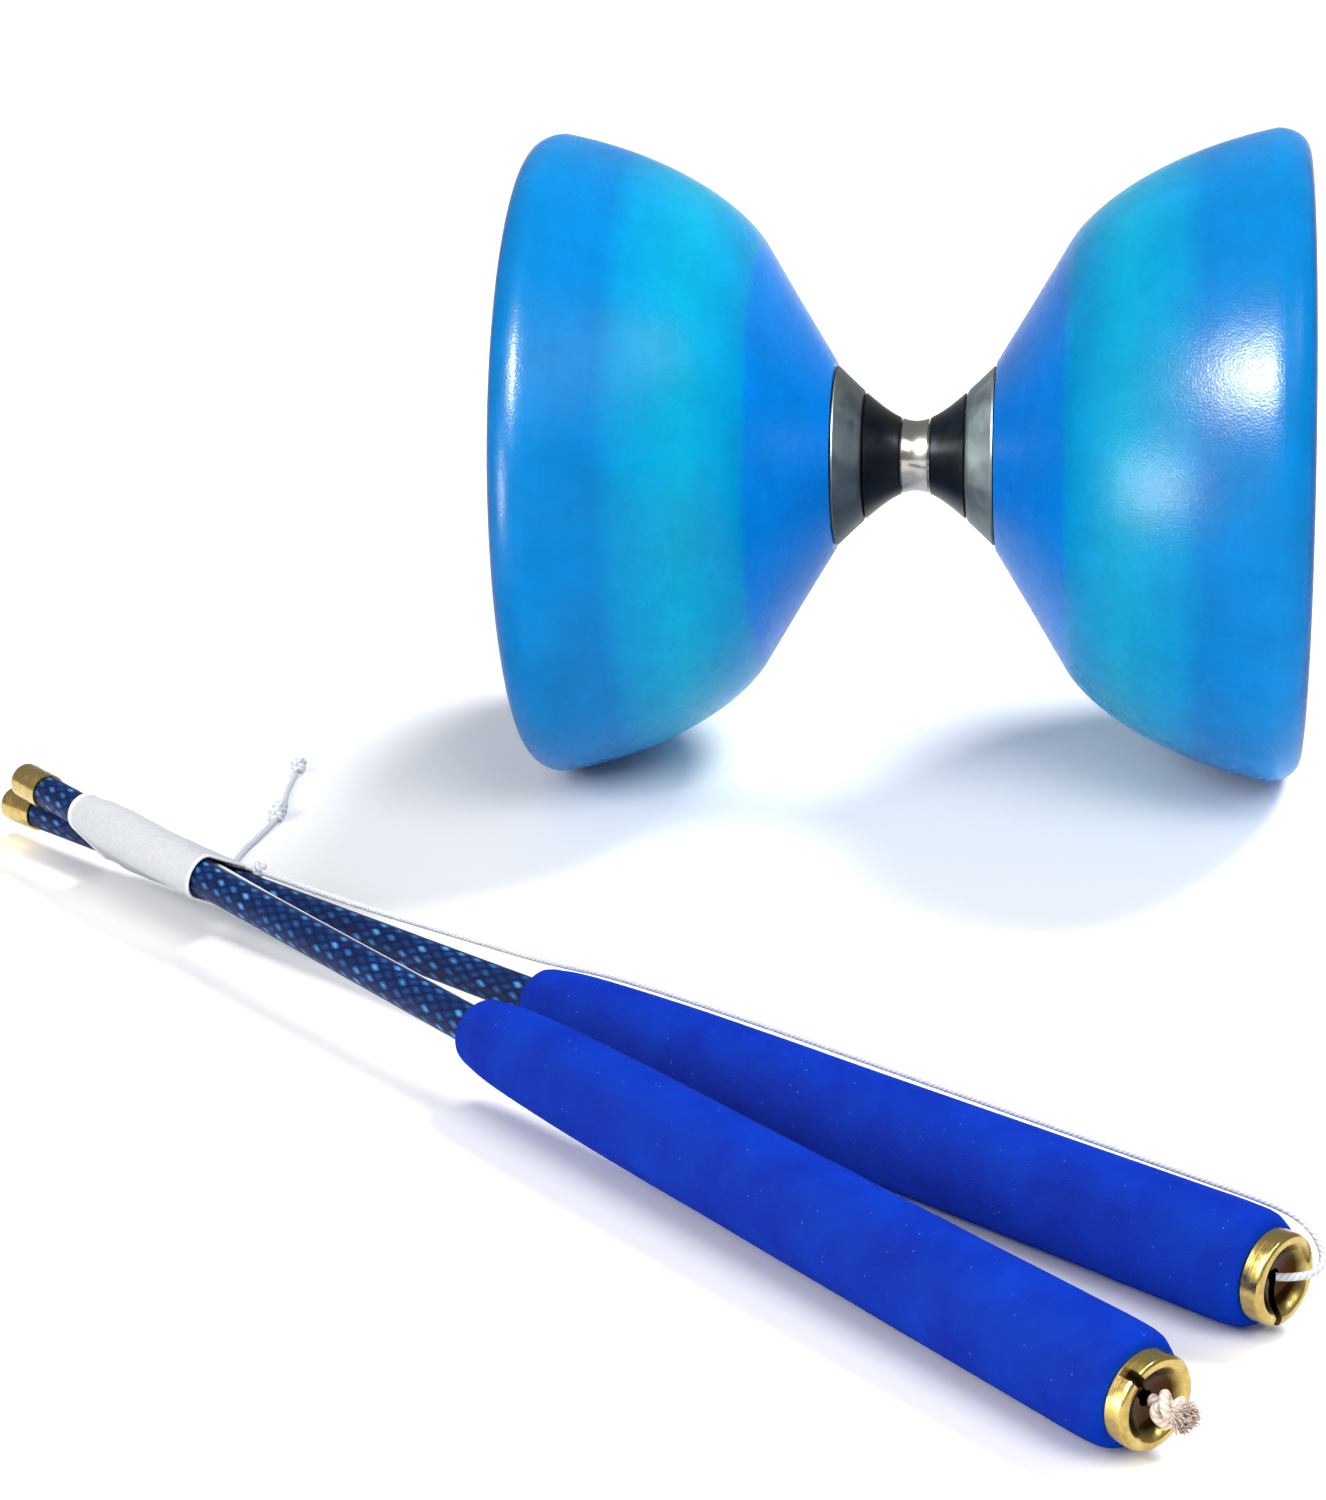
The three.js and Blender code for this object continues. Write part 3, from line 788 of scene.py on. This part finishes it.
GRIP_PROFILE = [
    (GRIP_START, TUBE_RADIUS + GAP),
    (GRIP_START, 4.9),
    (GRIP_START + 1, 5.9),
    (GRIP_START + 3.5, 6.4),
    (GRIP_START + 8, 7),
    (GRIP_START + 20, 7.65),
    (GRIP_START + 36, 8.08),
    (GRIP_START + 80, 8.5),
    (GRIP_END - 15, 9.08),
    (GRIP_END - 6, 9.15),
    (GRIP_END - 2, 8.9),
    (GRIP_END - 0.6, 8.2),
    (GRIP_END, 7.4),
    (GRIP_END, TUBE_RADIUS + GAP),
]


DENTS_PER_METRE = 55
DENT_DEPTH = 0.06
DENT_BIAS = 1.3  # keeps every dent inside the outline


def grip_mesh(name, seed):
    """The foam sleeve: a soft outline, with the small dents and swells of a used grip."""
    outer = smooth_line([Vector(p) for p in GRIP_PROFILE[1:-1]], 1.2)
    mesh = turned(name, [GRIP_PROFILE[0], *[tuple(p) for p in outer], GRIP_PROFILE[-1]], 72)
    for vertex in mesh.vertices:
        radial = Vector((0, vertex.co.y, vertex.co.z))
        if radial.length > (TUBE_RADIUS + 1) * MM:
            swell = noise.noise(vertex.co * DENTS_PER_METRE + Vector((seed, 0, 0)))
            vertex.co += radial.normalized() * (swell - DENT_BIAS) * DENT_DEPTH * MM
    return mesh


def cap_outline():
    """A stem that fits the tube, a flange against the foam and a dish with a rounded lip."""
    back = GRIP_END + GAP
    end = STICK_LENGTH
    bowl = bezier([(end, CAP_RIM_RADIUS), (end - 0.7, 4.6), (end - 2.2, 4.4), (end - 2.4, CAP_HOLE)], 12)
    corner = [(end - 1.1, CAP_RADIUS), (end - 0.3, CAP_RADIUS), (end, 6.7), (end, CAP_RIM_RADIUS)]
    lip = bezier(corner, 10)
    return [
        (TUBE_END - CAP_STEM, CAP_HOLE),
        (TUBE_END - CAP_STEM, TUBE_BORE - GAP),
        (back, TUBE_BORE - GAP),
        (back, CAP_RADIUS - 0.3),
        (back + 0.3, CAP_RADIUS),
        *[tuple(p) for p in lip],
        *[tuple(p) for p in bowl[1:]],
    ]


def cap_mesh(name, slot_turn):
    """The dished brass cap, with its string slot cut by a box that starts near the cap's middle."""
    solid = bpy.data.objects.new(name, turned(name, cap_outline(), 96))
    scene.collection.objects.link(solid)
    bm = bmesh.new()
    bmesh.ops.create_cube(bm, size=1)
    reach = CAP_RADIUS + 1
    off_middle = 0.6
    depth = 6  # half of it goes into the cap
    place = (
        Matrix.Rotation(slot_turn, 4, "X")
        @ Matrix.Translation(Vector((STICK_LENGTH, reach / 2 + off_middle, 0)) * MM)
        @ Matrix.Diagonal(Vector((depth * MM, reach * MM, CAP_SLOT * MM, 1)))
    )
    bm.transform(place)
    cutter = bpy.data.objects.new("slot_cutter", mesh_of("slot_cutter", bm))
    scene.collection.objects.link(cutter)
    cut = solid.modifiers.new("slot", "BOOLEAN")
    cut.operation = "DIFFERENCE"
    cut.solver = "EXACT"
    cut.object = cutter
    bpy.context.view_layer.update()
    cut_solid = solid.evaluated_get(bpy.context.evaluated_depsgraph_get())
    mesh = bpy.data.meshes.new_from_object(cut_solid)
    for obj in (solid, cutter):
        bpy.data.objects.remove(obj)
    return mesh


def ferrule_outline():
    """A capped tip with a rounded front edge, and the stem that goes into the tube."""
    stem = TUBE_BORE - GAP
    corners = [
        (0, FERRULE_HOLE),
        (0, FERRULE_RADIUS),
        (FERRULE_LENGTH, FERRULE_RADIUS),
        (FERRULE_LENGTH, stem),
        (FERRULE_STEM_END, stem),
        (FERRULE_STEM_END, FERRULE_HOLE),
    ]
    return rounded(corners, 1.1, 6, keep=(0, 2, 3, 4, 5))


def make_sticks():
    # Each stick's side, place, turn of its cap's slot in radians, and seed of its grip's dents.
    for side, place, slot_turn, seed in (("front", FRONT, 2.2, 3.1), ("rear", REAR, -1.9, 8.4)):
        def put(name, mesh, slot, material, node, here=place):
            full_name = f"{side}_{name}"
            return piece(full_name, mesh, here, "hand_sticks", [f"{side}_{node}"], material, 40)

        ferrule = turned("ferrule", ferrule_outline(), 64)
        ferrule.transform(place)
        put("ferrule", ferrule, "brass", BRASS, "tip_ferrule", HERE)
        start = FERRULE_LENGTH + GAP
        skin = [(along, tube_radius(along)) for along in stations(start, TUBE_END, 60)]
        shaft = turned("shaft", [(start, TUBE_BORE), *skin, (TUBE_END, TUBE_BORE)], 48)
        put("shaft", shaft, "braided_tube", BRAID, "tube")
        sleeve = grip_mesh("foam_sleeve", seed)
        sleeve.transform(place)
        grip = put("foam_sleeve", sleeve, "grip_foam", FOAM, "grip", HERE)
        put("brass_cap", cap_mesh("brass_cap", slot_turn), "brass", CAP_BRASS, "end_cap")


make_sticks()

# ---- Band -----------------------------------------------------------------------------------
AXES = (FRONT.col[0].xyz, REAR.col[0].xyz)
TIPS = (FRONT.translation, REAR.translation)
SHARED = (AXES[0] + AXES[1]).normalized()
SHARED_START = (TIPS[0] + TIPS[1]) / 2


def crossing(stick, along):
    """Where a stick's axis crosses the plane `along` millimetres down the shared direction."""
    reach = along * MM - (TIPS[stick] - SHARED_START).dot(SHARED)
    return TIPS[stick] + AXES[stick] * (reach / AXES[stick].dot(SHARED))


def round_both(along, radius, share, skew=0.0):
    """The point at a share, from 0 to 1, of the way round both tubes, `radius` mm off their axes.
    The rear tube's end of the outline lies `skew` millimetres nearer the tips.
    """
    high = crossing(0, along)
    low = crossing(1, along - skew)
    apart = high - low
    straight = apart.length
    apart = apart.normalized()
    sideways = SHARED.cross(apart).normalized()
    arc = math.pi * radius * MM
    walk = (share % 1) * 2 * (straight + arc)
    for centre, sign in ((high, 1), (low, -1)):
        if walk < arc:
            turn = walk / (radius * MM) - math.pi / 2
            return centre + (apart * math.cos(turn) + sideways * math.sin(turn)) * radius * MM * sign
        walk -= arc
        if walk < straight:
            return centre + (sideways * radius * MM - apart * walk) * sign
        walk -= straight
    return high - sideways * radius * MM


# The band's outline, from tips to grips: millimetres along the shared direction, and radius off the
# tubes' axes.
BAND = [
    (28.4, 3.7), (31, 3.9), (37.5, 4.58), (45, 4.72), (58, 4.7), (62.5, 4.6), (69, 4.35), (72.5, 4.2),
]
BAND_SKEW = 4  # how much sooner the band ends on the rear stick
SKEW_START = 62.5
BAND_THICKNESS = 0.24
BAND_ROWS = 96
BAND_COLUMNS = 132
RIM_ROLL = 1.2  # width of the rolled rim
RIM_SWELL = 0.28
WOUND_RIDGE = 0.03  # how much of each turn of string shows through
CREASES = ((230, 0.14), (650, 0.07))  # per metre, and depth
WINDING = {"start": 39.5, "end": 59.5, "radius": 3.84}
FIRST_TURN = WINDING["start"] + STRING / 2
LAST_TURN = WINDING["end"] - STRING / 2


def band_radius(along):
    """The band's radius, eased from one point of BAND to the next."""
    for (a, low), (b, high) in zip(BAND, BAND[1:]):
        if along <= b:
            t = (along - a) / (b - a)
            t = t * t * (3 - 2 * t)
            return low + (high - low) * t
    return BAND[-1][1]


def band_mesh(name):
    """Paper wrapped round both tubes: thin, creased over the string and rolled at both rims."""
    bm = bmesh.new()
    start, end = BAND[0][0], BAND[-1][0]
    rows = stations(start, end, BAND_ROWS)
    sheet = []
    for outside in (True, False):
        for along in rows if outside else reversed(rows):
            skew = BAND_SKEW * max(0, along - SKEW_START) / (end - SKEW_START)
            near_rim = min(along - start, end - along)
            bead = 0.0
            if near_rim < RIM_ROLL:
                bead = math.sqrt(max(0.0, 1 - (2 * near_rim / RIM_ROLL - 1) ** 2))
            wound = WINDING["start"] < along < WINDING["end"]
            ridge = WOUND_RIDGE * math.sin(2 * math.pi * along / STRING) if wound else 0.0
            ring = []
            for k in range(BAND_COLUMNS):
                share = k / BAND_COLUMNS
                point = round_both(along, band_radius(along), share, skew)
                crease = sum(depth * noise.noise(point * scale) for scale, depth in CREASES)
                radius = band_radius(along) + crease * min(1, near_rim / RIM_ROLL) + ridge
                radius += RIM_SWELL * bead if outside else -BAND_THICKNESS
                ring.append(bm.verts.new(round_both(along, radius, share, skew)))
            sheet.append(ring)
    uv = bm.loops.layers.uv.new("along")
    for i, (a, b) in enumerate(zip(sheet, sheet[1:] + sheet[:1])):
        for k in range(BAND_COLUMNS):
            j = (k + 1) % BAND_COLUMNS
            face = bm.faces.new((a[k], a[j], b[j], b[k]))
            share = min(i, 2 * len(rows) - 1 - i) / len(rows)
            for loop in face.loops:
                loop[uv].uv = (share, k / BAND_COLUMNS)
    return mesh_of(name, bm)


wrap = band_mesh("paper_wrap")
piece("paper_wrap", wrap, HERE, "hand_sticks", ["paper_band"], PAPER, 0)

# ---- String ---------------------------------------------------------------------------------
# Routes are given points, the same as the CAD model's: along the stick, towards the spool, up.
REAR_RUN = [
    (79.6, 1.9, 3.8), (92, 2.1, 3.8), (104, 2.3, 3.95), (116, 2.6, 4.25), (128, 3, 4.6),
    (140, 3.4, 4.95), (152, 3.9, 5.35), (160, 4.4, 5.85), (168, 4.9, 6.45), (180, 5.2, 6.95),
    (205, 5.6, 7.35), (230, 6, 7.35), (255, 6.5, 7.25), (280, 7, 7.15), (300, 7.3, 7.1),
    (306, 7.5, 6.9), (309.5, 7.9, 6.3), (312, 8.2, 5.3), (313.8, 8.2, 4.1), (315.2, 7.9, 2.6),
    (316.2, 7.2, 1.2), (316.6, 5.8, 0.4), (316.3, 4, 0), (315.4, 2.2, 0), (314.2, 0.9, 0),
    (313, 0, 0),
]
FRONT_RUN = [
    (69.5, 4.1, 0.7), (85, 4.15, 0.35), (105, 4.15, 0.3), (125, 4.2, 0.3), (143, 4.2, 0.4),
    (GRIP_START - GAP, 4.2, 0.7),
]
# Between the winding and the rear run the string lies on the rear tube, under band and hitch knot.
REAR_LEAD = [(74.5, 2.1, 3.6)]
# The tail drops behind the rear stick and lies on the floor, through both of its knots.
TAIL = [
    (-119.6, -94.4, 11), (-120, -91.6, 9.6), (-120.9, -89.5, 6.8), (-122, -87.5, 3.8),
    (-123.4, -84.8, 1.6), (-125.9, -80.8, 0.9), (-129.6, -75.5, 0.9), (-131.2, -68.2, 0.9),
    (-131, -61, 0.9), (-129.9, -54, 0.9), (-128.9, -46.6, 0.9), (-128.5, -42.4, 1.4),
    (-128.6, -38.2, 0.9), (-129.4, -32.6, 0.9), (-130.2, -25.6, 0.9), (-130.6, -18, 0.9),
]
VALLEY = 2.5  # how far out the string lies in the hollow between the two tubes
LEAVES_AT = 0.6  # the share of the last turn at which the string leaves it, under the rear tube
POINTS_PER_TURN = 40
TURN_PITCH = 1.02 * STRING
STRING_STEP = 0.5 * MM
TAIL_STEP = 0.6 * MM


def in_stick(place, points):
    return [place @ (Vector(p) * MM) for p in points]


def in_layout(points):
    return [LAYOUT + Vector(p) * MM for p in points]


def valley(along):
    """A point in the hollow between the two tubes, on the spool's side."""
    high = crossing(0, along)
    low = crossing(1, along)
    sideways = SHARED.cross((high - low).normalized())
    return (high + low) / 2 - sideways * VALLEY * MM


def winding_line():
    """The turns round both tubes, a string's width apart."""
    turns = int((LAST_TURN - FIRST_TURN) / TURN_PITCH) + LEAVES_AT
    count = round(turns * POINTS_PER_TURN)
    line = []
    for i in range(count + 1):
        along = FIRST_TURN + (LAST_TURN - FIRST_TURN) * i / count
        line.append(round_both(along, WINDING["radius"], i / POINTS_PER_TURN))
    return line


def make_string():
    """From the front grip to the band, back under its own turns, round both, and on to the rear cap."""
    front = list(reversed(in_stick(FRONT, FRONT_RUN)))
    turns = winding_line()
    under = [valley(along) for along in (62, 56, 50)]
    low = VALLEY + 0.1
    sweep_in = []
    sweep_out = []
    for t in stations(0, 1, 4):
        radius = low + (WINDING["radius"] - VALLEY - 0.1) * t
        sweep_in.append(round_both(FIRST_TURN + 6 * (1 - t) ** 2, radius, 0.87 + 0.13 * t))
        along = LAST_TURN + 0.3 * t + 7.2 * t * t
        sweep_out.append(round_both(along, WINDING["radius"], LEAVES_AT + 0.18 * (2 * t - t * t)))
    lead_in = smooth_line(front + under + sweep_in + [turns[3], turns[6]], STRING_STEP)
    lead_out = [turns[-7], turns[-4]] + sweep_out + in_stick(REAR, REAR_LEAD + REAR_RUN)
    line = lead_in[:-1] + turns[6:-7] + smooth_line(lead_out, STRING_STEP)
    mesh = tube_mesh("string", line, STRING / 2 * MM)
    nodes = ["string_front_run", "string_winding", "string_rear_run"]
    return piece("string", mesh, HERE, "hand_sticks", nodes, CORD, 60), line


def make_tail():
    line = smooth_line(in_layout(TAIL), TAIL_STEP)
    mesh = tube_mesh("tail", line, STRING / 2 * MM)
    nodes = ["string_tail", "string_tail_end"]
    return piece("tail", mesh, HERE, "hand_sticks", nodes, CORD, 60), line


KNOT_POINTS = 160
KNOT_WIDTH = 1.7  # how much wider than high the knot's line is


def knot_line(radius, lift, shift=0.0):
    """A trefoil, pulled tight, round the X axis."""
    line = []
    for i in range(KNOT_POINTS + 1):
        t = 2 * math.pi * i / KNOT_POINTS
        reach = radius + lift * math.cos(3 * t)
        x = shift + KNOT_WIDTH * lift * math.sin(3 * t)
        line.append(Vector((x, reach * math.cos(2 * t), reach * math.sin(2 * t))) * MM)
    return line


def make_knot(name, node, place, radius, width, shifts=(0.0,)):
    """A pulled-tight knot in the string: a trefoil round the line for each shift."""
    loops = [tube_mesh(name, knot_line(radius, 0.4, shift), width * MM) for shift in shifts]
    return piece(name, joined(name, loops), place, "hand_sticks", [node], CORD, 60)


FIBRES = 150
FIBRE_RADIUS = 0.19
FIBRE_REACH = 3.6
FIBRE_SPREAD = 1.15
FIBRE_TANGLE = 0.9
FIBRE_TAPER = 0.35
GOLDEN_TURN = 2.399963
TUFT_START = Vector((0.8, 0, 0))
CAP_KNOT_PLACE = FRONT @ Matrix.Translation(Vector((316.8, 0.2, 0.2)) * MM)


def noise_at(spot):
    """A vector of noise, the same in each run, which mathutils' own noise_vector isn't."""
    return Vector([noise.noise(spot + Vector((0, 0, shift))) for shift in (0, 31.4, 57.9)])


def fibre_line(i):
    """One fibre of the frayed end, whose turn and spread depend on its number."""
    turn = i * GOLDEN_TURN
    out = math.sqrt((i + 0.5) / FIBRES)
    radial = Vector((0, math.cos(turn), math.sin(turn)))
    start = TUFT_START + radial * out * 1.2
    bend = noise_at(radial * out * 2.3 + Vector((i * 0.37, 0, 0))) * FIBRE_TANGLE
    reach = FIBRE_REACH + 0.9 * noise.noise(Vector((i * 1.7, 0.3, 0.9)))
    middle = start + radial * out * 0.5 + Vector((0.45 * reach, 0, 0)) + bend * 0.3
    end = start + radial * out * FIBRE_SPREAD + Vector((reach * (1 - 0.25 * out), 0, 0)) + bend
    return smooth_line([point * MM for point in (start, middle, end)], 0.45 * MM)


def make_cap_knot():
    """The string's end: a knot in the dish of the front cap, and the tuft that it frays into."""
    neck = [Vector((x, 0, 0)) * MM for x in (-3.2, -1.5, 0, 1.5, 3)]
    core = knot_line(1.35, 0.7)
    meshes = [tube_mesh("core", core, 0.72 * MM, 12), tube_mesh("neck", neck, 0.9 * MM, 12)]
    for i in range(FIBRES):
        meshes.append(tube_mesh("fibre", fibre_line(i), FIBRE_RADIUS * MM, 5, FIBRE_TAPER))
    mesh = joined("frayed_knot", meshes)
    mesh.transform(CAP_KNOT_PLACE)
    return piece("frayed_knot", mesh, HERE, "hand_sticks", ["cap_knot"], FRAYED, 60)


string, string_line = make_string()
tail, tail_line = make_tail()
hitch_place = REAR @ Matrix.Translation(Vector((77.4, 2, 4.3)) * MM)
hitch = make_knot("hitch_knot", "string_hitch_knot", hitch_place, 0.62, 0.5)
across = Matrix.Rotation(math.pi / 2, 4, "Z")
double_place = Matrix.Translation(in_layout([(-128.5, -42.4, 2)])[0]) @ across
double = make_knot("double_knot", "tail_double_knot", double_place, 0.68, 0.75, (-1.35, 1.35))
end_place = Matrix.Translation(in_layout([(-130.4, -15.4, 2)])[0]) @ across
end_knot = make_knot("end_knot", "tail_end_knot", end_place, 0.68, 0.75)
cap_knot = make_cap_knot()

# ---- Floor and light ------------------------------------------------------------------------
FLOOR_HALF = 40.0  # metres
WORLD_STRENGTH = 0.38
SUN_ENERGY = 3.2
SUN_ANGLE = math.radians(22)
SUN_FROM = Vector((0.5, 0.55, 1))
# Each lamp's turn and lift in degrees and distance in metres, as from_camera takes them, its size in
# metres, its power in watts, and what it doesn't light.
LAMPS = [
    ("key", (22, 45, 1.5), (0.8, 0.8), 11, {}),
    ("side", (-50, 28, 1.5), (0.8, 0.8), 11, {"glossy": False}),
    ("left_high", (-36, 41, 1.3), (0.14, 0.14), 190, {"diffuse": False}),
    ("left_low", (-59, 0, 1.3), (0.14, 0.18), 44, {"diffuse": False}),
    ("right_high", (56, 44, 1.3), (0.14, 0.14), 6, {"diffuse": False}),
]


def make_floor():
    """A plain pale floor, wide enough to reach the horizon in a low view."""
    bm = bmesh.new()
    bmesh.ops.create_grid(bm, x_segments=1, y_segments=1, size=FLOOR_HALF)
    mesh = mesh_of("floor", bm)
    look = Look("floor", Roughness=0.9)
    look.shader.inputs["Specular IOR Level"].default_value = 0.0
    shade = look.noise(look.place(), 3, 2)
    look.use("Base Color", look.mix(shade, (0.945, 0.945, 0.95), (0.96, 0.96, 0.96)))
    mesh.materials.append(look.material)
    floor = bpy.data.objects.new("floor", mesh)
    scene.collection.objects.link(floor)


def area_light(name, place, size, power, diffuse=True, glossy=True):
    """A rectangular softbox aimed at the spool, which may be left out of diffuse or glossy light."""
    data = bpy.data.lights.new(name, "AREA")
    data.shape = "RECTANGLE"
    data.size, data.size_y = size
    data.energy = power
    light = bpy.data.objects.new(name, data)
    light.location = place
    light.rotation_euler = (SPOOL - place).to_track_quat("-Z", "Y").to_euler()
    light.visible_diffuse = diffuse
    light.visible_glossy = glossy
    scene.collection.objects.link(light)


def from_camera(turn, lift, distance):
    """A place at a turn and a lift, in degrees, round the spool from the camera's side."""
    turn = math.radians(turn) + CAMERA_YAW
    lift = math.radians(lift)
    level = math.cos(lift)
    return SPOOL + distance * Vector((math.sin(turn) * level, -math.cos(turn) * level, math.sin(lift)))


def make_lights():
    world = bpy.data.worlds.new("studio")
    world.use_nodes = True
    background = world.node_tree.nodes["Background"]
    background.inputs["Color"].default_value = (1, 1, 1, 1)
    background.inputs["Strength"].default_value = WORLD_STRENGTH
    scene.world = world
    sun = bpy.data.lights.new("sky", "SUN")
    sun.energy = SUN_ENERGY
    sun.angle = SUN_ANGLE
    sky = bpy.data.objects.new("sky", sun)
    sky.rotation_euler = SUN_FROM.to_track_quat("Z", "Y").to_euler()
    sky.visible_glossy = False
    scene.collection.objects.link(sky)
    for name, place, size, power, limits in LAMPS:
        area_light(name, from_camera(*place), size, power, **limits)


make_floor()
make_lights()
scene.view_settings.view_transform = "Standard"
